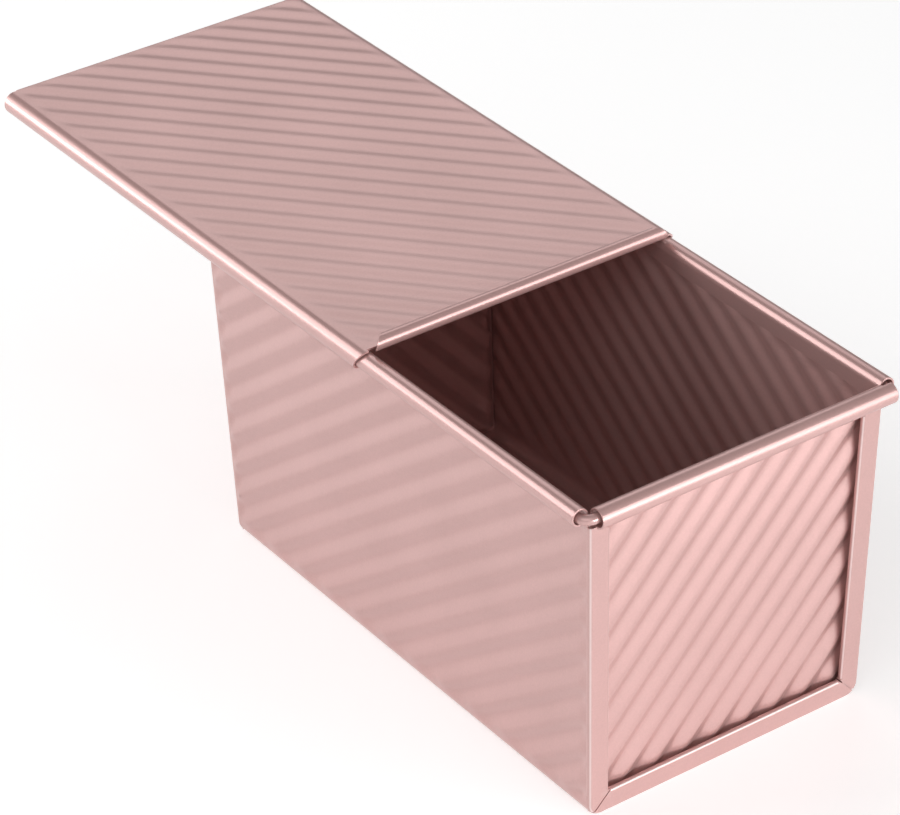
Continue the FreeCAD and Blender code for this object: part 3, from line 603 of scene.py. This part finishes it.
# %% The ribbed end plate
PLATE_PITCH, PLATE_ANGLE, PLATE_DEPTH, PLATE_CUTS = 8.6, 49.0, 1.6, 103
PLATE_SINK, SINK_EDGE, SINK_EASE = 0.9, 5.0, 1.8
END_CURL, END_RIM_DROP = 3.3, 0.4
plate_top = PAN_HEIGHT - END_RIM_DROP - 2 * END_CURL
plate_x = BASE_LENGTH / 2 - PANEL_RECESS - GAUGE / 2
foot_half, shoulder_half = side_y(HOOK_INSET) - HOOK_INSET, side_y(plate_top) - HOOK_INSET
plate_start = mm(plate_x + END_LEAN * HOOK_INSET, -foot_half, HOOK_INSET)
plate = start_line("end_plate_front", plate_start)
draw(FLAT, plate_start, 90, [("run", 2 * foot_half, 1)])
pull(Vector((END_LEAN, 0, 1)) * ((plate_top - HOOK_INSET) * MM))
pick("VERT", lambda place: place.z > MID_HEIGHT)
bpy.ops.transform.resize(value=(1, shoulder_half / foot_half, 1))
bpy.ops.mesh.select_all(action="SELECT")
bpy.ops.mesh.subdivide(number_cuts=PLATE_CUTS)
face_towards((plate_x, 0, MID_HEIGHT), X)
bpy.ops.object.mode_set(mode="OBJECT")


def plate_share(place):
    """How far the end plate is sunk and ribbed: fully where it shows, not at all along its hooks."""
    from_side = side_y(place.z) - STRIP_WIDTH + SINK_EDGE - abs(place.y)
    from_base = place.z - BASE_STRIP_WIDTH + SINK_EDGE
    return min(ease(gap / SINK_EASE) for gap in (from_side, from_base, plate_top - place.z))


press_ribs(plate, plate_share, across_ribs(PLATE_ANGLE, -Y, Z), PLATE_PITCH, PLATE_DEPTH,
           (plate_x, 0, MID_HEIGHT), rise=RIB_RISE, level=1 + PLATE_SINK / PLATE_DEPTH, flanks="LINEAR")
give_gauge(plate)

# %% [markdown]
# Hems along three edges of the plate hook behind the frame's own hems, which is what holds a lock seam
# without solder. They use the frame's hem moves again, started at the plate's edges and turned the other
# way.

# %% The end plate's hooks
hook_start = mm(end_x(HOOK_INSET) - PANEL_RECESS - GAUGE / 2, HOOK_INSET - side_y(HOOK_INSET), HOOK_INSET)
hook = start_line("hook", hook_start)
draw(FLAT, hook_start, -90, hem)
pull(upright * ((WALL_TOP - HOOK_INSET) / (WALL_TOP - corner_z)))
give_gauge(hook)
mirror_across(hook)

base_hook = start_line("base_hook", plate_start)
draw(ALONG, plate_start, -90 - END_TILT, hem)
pull(Y * (2 * foot_half * MM))
give_gauge(base_hook)
print(f"hooks {HOOK_INSET:.2f} mm inside the frame's outer face")

# %% [markdown]
# The plate's top rolls outwards over the wire. On this tin the roll starts a little inside one corner and
# runs on past the other as a short tail, so after the pull the outer edges of its far end are extruded once
# more.

# %% The end plate's rolled top
CURL_TAIL, CURL_START, TAIL_INSET = 3.0, 1.0, 0.5
end_axis_z = PAN_HEIGHT - END_RIM_DROP - END_CURL
end_curl_radius = END_CURL - GAUGE / 2
end_half = side_y(WALL_TOP) - GAUGE - SEAM_GAP
end_lead = lead_to_curl(plate_top, end_axis_z, end_curl_radius, END_TILT)
plate_top_x = plate_x + END_LEAN * plate_top
curl_axis_x = end_x(end_axis_z) - PANEL_RECESS - GAUGE + END_CURL
end_curl_start = mm(plate_top_x, CURL_START - end_half, plate_top)
end_curl = start_line("end_curl", end_curl_start)
draw(ALONG, end_curl_start, 90 - END_TILT, [
    ("run", end_lead, LEAD_STEPS), ("bend", -CURL_TURN, end_curl_radius),
])
pull(Y * ((2 * end_half - CURL_START) * MM))
pick("EDGE", lambda place: place.y > end_half - TOUCH and place.x > curl_axis_x - TAIL_INSET)
extrude_edges(mm(0, CURL_TAIL, 0))
face_towards((plate_top_x, 0, plate_top), X)
give_gauge(end_curl)
soften(end_curl, lambda place: place.z > plate_top + JOIN_CLEAR or place.x > plate_top_x + GAUGE)
print(f"rolled top {2 * end_half - CURL_START:.1f} mm long and its tail {CURL_TAIL} mm")

# %% [markdown]
# Plate, hooks and rolled top are one sheet on the tin, so they are joined, and the other end is a turned
# copy.

# %% Both end plates
take(plate, hook, base_hook, end_curl)
bpy.ops.object.join()
smooth(plate)
plate_rear = half_turn_copy(plate, "end_plate_rear")
print(plate.name, len(plate.data.polygons), "faces")

# %% [markdown]
# One ring of wire runs inside all four rolls and shows bare at the corners. A bevelled curve could give it,
# but a circle that is extruded along each side and spun round each corner has the bends exactly where they
# are measured. When it comes back to its start, the two ends are merged.

# %% The rim wire
WIRE_RADIUS, WIRE_DROP, WIRE_BEND = 1.6, 3.5, 3.9
WIRE_ROUND, WIRE_BEND_STEPS, WIRE_MERGE = 28, 10, 10 * HAIR
ring_x = curl_axis_x
ring_y = side_y(long_axis_z) - GAUGE + LONG_CURL
ring_z = PAN_HEIGHT - WIRE_DROP
straight_x, straight_y = ring_x - WIRE_BEND, ring_y - WIRE_BEND
bpy.ops.object.select_all(action="DESELECT")
bpy.ops.mesh.primitive_circle_add(vertices=WIRE_ROUND, radius=WIRE_RADIUS * MM,
                                  location=mm(ring_x, -straight_y, ring_z), rotation=(math.pi / 2, 0, 0))
wire = bpy.context.object
wire.name = wire.data.name = "wire_ring"
bpy.ops.object.transform_apply(location=True, rotation=True, scale=True)
bpy.ops.object.mode_set(mode="EDIT")
wire_sides = [
    (Y * (2 * straight_y), (straight_x, straight_y)),
    (X * (-2 * straight_x), (-straight_x, straight_y)),
    (Y * (-2 * straight_y), (-straight_x, -straight_y)),
    (X * (2 * straight_x), (straight_x, -straight_y)),
]
for side, (turn_x, turn_y) in wire_sides:
    extrude_edges(side * MM)
    bpy.ops.mesh.spin(steps=WIRE_BEND_STEPS, angle=-math.pi / 2, center=mm(turn_x, turn_y, ring_z), axis=Z)
bpy.ops.mesh.select_all(action="SELECT")
bpy.ops.mesh.remove_doubles(threshold=WIRE_MERGE)
turn_outwards()
bpy.ops.object.mode_set(mode="OBJECT")
smooth(wire)
print(wire.name, len(wire.data.polygons), "faces")

# %% [markdown]
# The lid is one sheet too. Its section runs from one channel, up over the plate and down into the other
# channel, so it is drawn in one go and pulled along. The channels hold the long rims with a small gap, so
# their radius follows from the rim's. The near ends of the channels are cut on a slant.

# %% The lid's plate and channels
SLIDE_GAP, LID_RIB_SPACE, LID_LENGTH, LID_SLID_BACK = 0.3, 0.45, 211.6, 111.7
CHANNEL_TURN, CHANNEL_SLANT = 165.0, 32.0
BEAD_RADIUS, LIP_BEND, LIP_DEPTH, LIP_GAP = 2.3, 1.5, 4.0, 1.5
lid_under = PAN_HEIGHT + SLIDE_GAP + LID_RIB_SPACE / 2
lid_middle, lid_top = lid_under + GAUGE / 2, lid_under + GAUGE
channel_y = ring_y - LID_RIB_SPACE / 4
channel_radius = LONG_CURL + SLIDE_GAP + LID_RIB_SPACE / 4 + GAUGE / 2
channel_cut = math.tan(math.radians(CHANNEL_SLANT))
lid_far = -(ring_x + END_CURL + SLIDE_GAP + GAUGE + LID_SLID_BACK)
plate_far, plate_near = lid_far + LIP_BEND, lid_far + LID_LENGTH - BEAD_RADIUS
tip_angle = math.radians(90 + CHANNEL_TURN)
lid_start = mm(plate_far, channel_radius * math.cos(tip_angle) - channel_y,
               lid_middle - channel_radius + channel_radius * math.sin(tip_angle))
lip_half = channel_y - LIP_GAP
lid = start_line("sliding_lid", lid_start)
draw(ACROSS, lid_start, CHANNEL_TURN, [
    ("bend", -CHANNEL_TURN, channel_radius), ("run", LIP_GAP, 1),
    ("run", 2 * lip_half, fine_steps(2 * lip_half)), ("run", LIP_GAP, 1),
    ("bend", -CHANNEL_TURN, channel_radius),
])
pull_finely(plate_near + LIP_DEPTH - plate_far)
trim(mm(plate_near, 0, lid_top), (1, 0, -channel_cut))
print(f"lid from {plate_far:.1f} to {plate_near:.1f} mm along the pan")

# %% [markdown]
# The near edge of the lid rolls up into a bead to pull it by. It is spun straight out of the edge of the
# plate, so that lid and bead stay one sheet. Its ends are cut on a slant that is turned back from the pull,
# and each cut is closed with a face.

# %% The lid's bead
BEAD_TURN, BEAD_GAP = 300.0, 2.0
BEAD_CUT_BACK, BEAD_CUT_UP, CUT_TOUCH = 0.9, 0.35, 0.001
near_x = plate_near - GAUGE / 2 * channel_cut
bead_radius = BEAD_RADIUS - GAUGE / 2
bead_half = channel_y - BEAD_GAP


def on_plate(place):
    """On the flat of the lid, between the two channels."""
    return abs(place.y) < lip_half and place.z > lid_middle - TOUCH


def on_bead(place):
    """On the bead, which rises from the flat of the lid."""
    return place.x > near_x + TOUCH or place.z > lid_middle + TOUCH


pick("EDGE", lambda place: place.x > near_x - TOUCH and on_plate(place))
bpy.ops.mesh.spin(steps=round(BEAD_TURN / DEGREES_PER_STEP), angle=math.radians(BEAD_TURN),
                  center=mm(near_x, 0, lid_middle + bead_radius), axis=Y)
for way in (1, -1):
    bead_front = Vector((near_x + bead_radius, way * bead_half, lid_middle + bead_radius))
    bead_cut = Vector((-BEAD_CUT_BACK, way, BEAD_CUT_UP)).normalized()
    pick("FACE", on_bead)
    trim(bead_front * MM, bead_cut, picked=True)
    cut_edges = pick("EDGE", lambda place: place.z > lid_middle + TOUCH
                     and abs((place - bead_front).dot(bead_cut)) < CUT_TOUCH)
    bpy.ops.mesh.edge_face_add()
    print("edges round the bead's end", cut_edges)

# %% [markdown]
# The far edge folds down into a lip, which meets the rear rim and stops the lid when it is closed. It is
# spun out of the plate like the bead, and one extrude gives it its depth.

# %% The lid's lip
LIP_STEPS = 8
lip_radius = LIP_BEND - GAUGE / 2
lip_edges = pick("EDGE", lambda place: place.x < plate_far + TOUCH and on_plate(place))
lip_centre = mm(plate_far, 0, lid_middle - lip_radius)
bpy.ops.mesh.spin(steps=LIP_STEPS, angle=math.pi / 2, center=lip_centre, axis=Y)
extrude_edges(mm(0, 0, LIP_BEND - LIP_DEPTH))
face_towards(((plate_far + plate_near) / 2, 0, lid_middle), Z)
bpy.ops.object.mode_set(mode="OBJECT")
print("edges along the lip", lip_edges)

# %% [markdown]
# The lid's ribs are shallower and even, with eased flanks, because the plate has to slide over the rims.
# They stop before the channels, the bead and the lip.

# %% The lid's ribs
LID_PITCH, LID_ANGLE, LID_DEPTH = 8.6, 41.0, 0.34
field_far, field_near = plate_far + RIB_MARGIN, near_x - BEAD_RADIUS


def lid_share(place):
    """How far the lid's ribs are pressed on its plate."""
    if abs(place.z - lid_middle) > TOUCH:
        return 0.0
    return fade(channel_y - abs(place.y), place.x - field_far, field_near - place.x)


press_ribs(lid, lid_share, across_ribs(LID_ANGLE, -X, Y), LID_PITCH, LID_DEPTH,
           ((field_far + field_near) / 2, 0, lid_middle))
give_gauge(lid)
smooth(lid)
print(lid.name, len(lid.data.polygons), "faces")

# %% [markdown]
# The tin has a satin rose-gold coating: metal flakes in a clear pink film. One Principled shader gives it,
# partly metallic. Its patterns are procedural, on Object coordinates, so they need no picture and no
# unwrapping. A few helpers keep the node trees short: noise on the piece itself, a sum on sockets, a colour
# ramp and a map range.

# %% Nodes for the coating
def noise(tree, scale, detail):
    """A noise pattern that is fixed to the piece."""
    place, pattern = tree.nodes.new("ShaderNodeTexCoord"), tree.nodes.new("ShaderNodeTexNoise")
    pattern.inputs["Scale"].default_value, pattern.inputs["Detail"].default_value = scale, detail
    tree.links.new(place.outputs["Object"], pattern.inputs["Vector"])
    return pattern.outputs["Fac"]


def reckon(tree, operation, *terms):
    """A Math node on terms that are sockets or numbers."""
    step = tree.nodes.new("ShaderNodeMath")
    step.operation = operation
    for socket, term in zip(step.inputs, terms):
        if isinstance(term, float):
            socket.default_value = term
        else:
            tree.links.new(term, socket)
    return step.outputs["Value"]


def ramp(tree, share, stops):
    """A colour ramp with a stop at each (position, colour)."""
    band = tree.nodes.new("ShaderNodeValToRGB")
    for _ in stops[2:]:
        band.color_ramp.elements.new(1.0)
    for element, (position, colour) in zip(band.color_ramp.elements, stops):
        element.position, element.color = position, colour
    tree.links.new(share, band.inputs["Fac"])
    return band.outputs["Color"]


def spread(tree, value, source, target):
    """A value mapped from one (low, high) range to another."""
    ranged = tree.nodes.new("ShaderNodeMapRange")
    for name, limits in (("From", source), ("To", target)):
        ranged.inputs[f"{name} Min"].default_value, ranged.inputs[f"{name} Max"].default_value = limits
    tree.links.new(value, ranged.inputs["Value"])
    return ranged.outputs["Result"]


# %% [markdown]
# Large soft clouds and a fine grain of flakes vary the coating's colour. The grain also roughens its
# surface and varies its gloss, only a little, because more would break the highlights into dark specks.
# Convex edges are paler, where handling has worn the film thin. Along the end frames' folds and hems a paler
# band is a painted highlight, standing in for a bright line that the lamps don't give there; a fold is too
# round to count as an edge, so it is found by how far the surface has turned from the end of the pan.

# %% The coating
COAT_DARK, COAT_PALE = (0.60, 0.365, 0.345, 1), (0.66, 0.405, 0.385, 1)
# The pale colour below paints two marks: real wear on convex edges, and a painted highlight along the
# frames' folds and hems.
COAT_WEAR_AND_HIGHLIGHT = (0.95, 0.80, 0.78, 1)
TINT_STOPS = ((0.35, COAT_DARK), (0.65, COAT_PALE))
EVEN_MIX, FLAKE_SHARE, FILM_SPECULAR, SATIN = 0.5, 0.42, 0.8, (0.28, 0.30)
CLOUD_SCALE, CLOUD_DETAIL, GRAIN_DETAIL, GRAIN_RELIEF = 28, 5, 3, 0.15
WHOLE_RANGE, EDGE_RANGE, EDGE_WEAR = (0, 1), (0.60, 0.75), (0, 0.5)
# How strong the painted highlight is along a fold, by how far the surface has turned from the end of the
# pan.
FOLD_HIGHLIGHT = ((0.45, 0), (0.62, 0.6), (0.80, 0.6), (0.92, 0))


def wear_and_highlight_share(tree, paint_fold_highlight):
    """How pale the coating goes: worn at convex edges, plus a painted highlight along an end frame's folds.
    """
    shape = tree.nodes.new("ShaderNodeNewGeometry")
    edge = spread(tree, shape.outputs["Pointiness"], EDGE_RANGE, EDGE_WEAR)
    if not paint_fold_highlight:
        return edge
    split = tree.nodes.new("ShaderNodeSeparateXYZ")
    tree.links.new(shape.outputs["Normal"], split.inputs["Vector"])
    facing = reckon(tree, "ABSOLUTE", split.outputs["X"])
    # Painted highlight: a pale band along the folds and hems, where the surface turns from the end of the
    # pan.
    fold = ramp(tree, facing, [(position, (highlight_strength, highlight_strength, highlight_strength, 1)) for position, highlight_strength in FOLD_HIGHLIGHT])
    return reckon(tree, "MAXIMUM", fold, edge)


def coating(name, grain_scale, grain_depth, paint_fold_highlight=False):
    """A satin flake coating with grain, clouding and worn edges, and on an end frame a painted highlight
    along its folds.
    """
    material = bpy.data.materials.new(name)
    material.use_nodes = True
    tree = material.node_tree
    shader = tree.nodes["Principled BSDF"]
    shader.inputs["Metallic"].default_value = FLAKE_SHARE
    shader.inputs["Specular IOR Level"].default_value = FILM_SPECULAR

    clouds, grain = noise(tree, CLOUD_SCALE, CLOUD_DETAIL), noise(tree, grain_scale, GRAIN_DETAIL)
    mean = reckon(tree, "MULTIPLY", reckon(tree, "ADD", clouds, grain), EVEN_MIX)
    wear_and_highlight = tree.nodes.new("ShaderNodeMixRGB")
    wear_and_highlight.inputs["Color2"].default_value = COAT_WEAR_AND_HIGHLIGHT
    tree.links.new(ramp(tree, mean, TINT_STOPS), wear_and_highlight.inputs["Color1"])
    tree.links.new(wear_and_highlight_share(tree, paint_fold_highlight), wear_and_highlight.inputs["Fac"])
    tree.links.new(wear_and_highlight.outputs["Color"], shader.inputs["Base Color"])

    tree.links.new(spread(tree, grain, WHOLE_RANGE, SATIN), shader.inputs["Roughness"])
    bump = tree.nodes.new("ShaderNodeBump")
    bump.inputs["Strength"].default_value, bump.inputs["Distance"].default_value = GRAIN_RELIEF, grain_depth
    tree.links.new(grain, bump.inputs["Height"])
    tree.links.new(bump.outputs["Normal"], shader.inputs["Normal"])
    return material


SHEET_GRAIN, WIRE_GRAIN = (1600, 0.00004), (2400, 0.00002)
sheet_coat = coating("rose_coating", *SHEET_GRAIN)
# The end frames' coating also paints a highlight along their folds and hems.
painted_fold_coat = coating("coating_with_painted_fold_highlight", *SHEET_GRAIN, paint_fold_highlight=True)
wire_coat = coating("wire_coating", *WIRE_GRAIN)
print("coatings", sheet_coat.name, painted_fold_coat.name, wire_coat.name)

# %% [markdown]
# Every piece now gets its coating, rides on the pan or on the lid, and stands for the solid that it was
# drawn from. The wrap is drawn as five pieces, so all five stand for one solid.

# %% Pieces, bodies and slots
pan_pieces = {
    wrap: "body_wrap", long_rim_left: "body_wrap", long_rim_right: "body_wrap", frame_front: "body_wrap",
    frame_rear: "body_wrap", plate: "front_end_panel", plate_rear: "rear_end_panel", wire: "rim_wire",
}
coats = {wire: wire_coat, frame_front: painted_fold_coat, frame_rear: painted_fold_coat}
for piece, node in pan_pieces.items():
    piece.data.materials.append(coats.get(piece, sheet_coat))
    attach(piece, "pan")
    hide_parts(node)
lid.data.materials.append(sheet_coat)
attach(lid, "lid")
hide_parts("lid_sheet")
print(len(pan_pieces), "pieces on the pan and one lid")

# %% [markdown]
# The stage is a plain pale floor. Enough light to turn it white would also bleach the coating, so the floor
# glows a little, but only where the camera, a reflection or something clear sees it. So it looks white in
# the coating too, adds no other light to the pan, and keeps the pan's shadow.

# %% The floor
FLOOR_SIZE, FLOOR_COLOUR, FLOOR_ROUGHNESS, FLOOR_GLOW = 12, (0.85, 0.85, 0.85, 1), 0.9, 0.43
WHITE = (1, 1, 1, 1)
bpy.ops.object.select_all(action="DESELECT")
bpy.ops.mesh.primitive_plane_add(size=FLOOR_SIZE, location=(0, 0, 0))
floor = bpy.context.object
floor.name = "floor"
pale_floor = bpy.data.materials.new("pale_floor")
pale_floor.use_nodes = True
floor_tree = pale_floor.node_tree
floor_shader = floor_tree.nodes["Principled BSDF"]
floor_shader.inputs["Base Color"].default_value = FLOOR_COLOUR
floor_shader.inputs["Roughness"].default_value = FLOOR_ROUGHNESS
floor_shader.inputs["Emission Color"].default_value = WHITE
path = floor_tree.nodes.new("ShaderNodeLightPath")
seen = reckon(floor_tree, "MAXIMUM", path.outputs["Is Camera Ray"], path.outputs["Is Glossy Ray"])
seen_through = reckon(floor_tree, "MAXIMUM", seen, path.outputs["Is Transmission Ray"])
glow = reckon(floor_tree, "MULTIPLY", seen_through, FLOOR_GLOW)
floor_tree.links.new(glow, floor_shader.inputs["Emission Strength"])
floor.data.materials.append(pale_floor)
print(floor.name, FLOOR_SIZE, "m wide")

# %% [markdown]
# Satin metal shows what is round it, so it is lit by soft panels rather than by points. Two low ones rake
# the ribs of the near end and of the left side, the right and left ones draw the bright lines along the
# rims, the front one fills the inside, and the one behind is mirrored in the lid. A weak white world keeps
# the rest from going black.

# %% The light
WORLD_STRENGTH, LIGHT_DISTANCE = 0.22, 1.5
LIGHT_AIM = mm(0, 0, 60)
world = bpy.data.worlds.new("studio")
bpy.context.scene.world = world
world.use_nodes = True
world.node_tree.nodes["Background"].inputs["Color"].default_value = WHITE
world.node_tree.nodes["Background"].inputs["Strength"].default_value = WORLD_STRENGTH


def softbox(name, way, width, height, watts):
    """A soft light panel in a direction from the pan, looking at it."""
    place = LIGHT_AIM + Vector(way).normalized() * LIGHT_DISTANCE
    bpy.ops.object.light_add(type="AREA", location=place)
    lamp = bpy.context.object
    lamp.name = name
    lamp.data.shape, lamp.data.size, lamp.data.size_y = "RECTANGLE", width, height
    lamp.data.energy = watts
    lamp.rotation_mode = "QUATERNION"
    lamp.rotation_quaternion = (LIGHT_AIM - place).to_track_quat("-Z", "Y")
    lamp.visible_camera = False
    print(f"{name}: {watts} W from {plain(place, 2)}")


softbox("end_light", (0.97, 0.1, 0.1), 0.8, 0.34, 12)
softbox("right_light", (0.84, 0.49, 0.22), 0.6, 1.0, 6.5)
softbox("left_light", (-0.62, -0.65, 0.46), 1.0, 1.0, 9)
softbox("low_left_light", (-0.87, -0.45, 0.1), 0.8, 0.34, 5)
softbox("front_light", (0.5, -0.6, 0.62), 1.2, 1.2, 4.5)
softbox("lid_light", (-0.68, 0.43, 0.59), 0.8, 0.8, 2.2)
bpy.context.scene.view_settings.view_transform = "Standard"

# %% [markdown]
# The camera stands where the photograph was taken from. Its angles and distance come from fitting the pan's
# straight edges, and its place is found by putting a known point of the pan at its pixel in the 900 by 815
# frame.

# %% The camera
IMAGE_WIDTH, IMAGE_HEIGHT = 900, 815
AZIMUTH, ELEVATION, ROLL = math.radians(55.29), math.radians(32.43), math.radians(-1.62)
FOCAL_PIXELS, DISTANCE = 3948.9, 1223.8
KNOWN_POINT, KNOWN_PIXEL = mm(0, 0, 50), (535.8, 477.5)
SENSOR_WIDTH, CLIP_END = 36.0, 100
back = Vector((math.sin(AZIMUTH) * math.cos(ELEVATION), -math.cos(AZIMUTH) * math.cos(ELEVATION),
               math.sin(ELEVATION)))
level = Vector((math.cos(AZIMUTH), math.sin(AZIMUTH), 0))
plumb = back.cross(level)
right = level * math.cos(ROLL) + plumb * math.sin(ROLL)
above = plumb * math.cos(ROLL) - level * math.sin(ROLL)
aside = (KNOWN_PIXEL[0] - IMAGE_WIDTH / 2) / FOCAL_PIXELS * DISTANCE * MM
below = (KNOWN_PIXEL[1] - IMAGE_HEIGHT / 2) / FOCAL_PIXELS * DISTANCE * MM
camera_place = KNOWN_POINT - right * aside + above * below + back * (DISTANCE * MM)
bpy.ops.object.camera_add()
camera = bpy.context.object
camera.data.sensor_width, camera.data.lens = SENSOR_WIDTH, FOCAL_PIXELS * SENSOR_WIDTH / IMAGE_WIDTH
camera.data.clip_end = CLIP_END
camera.matrix_world = Matrix((right, above, back)).transposed().to_4x4()
camera.location = camera_place
bpy.context.scene.camera = camera
print("camera at", plain(camera_place, 3), "lens", round(camera.data.lens, 2))
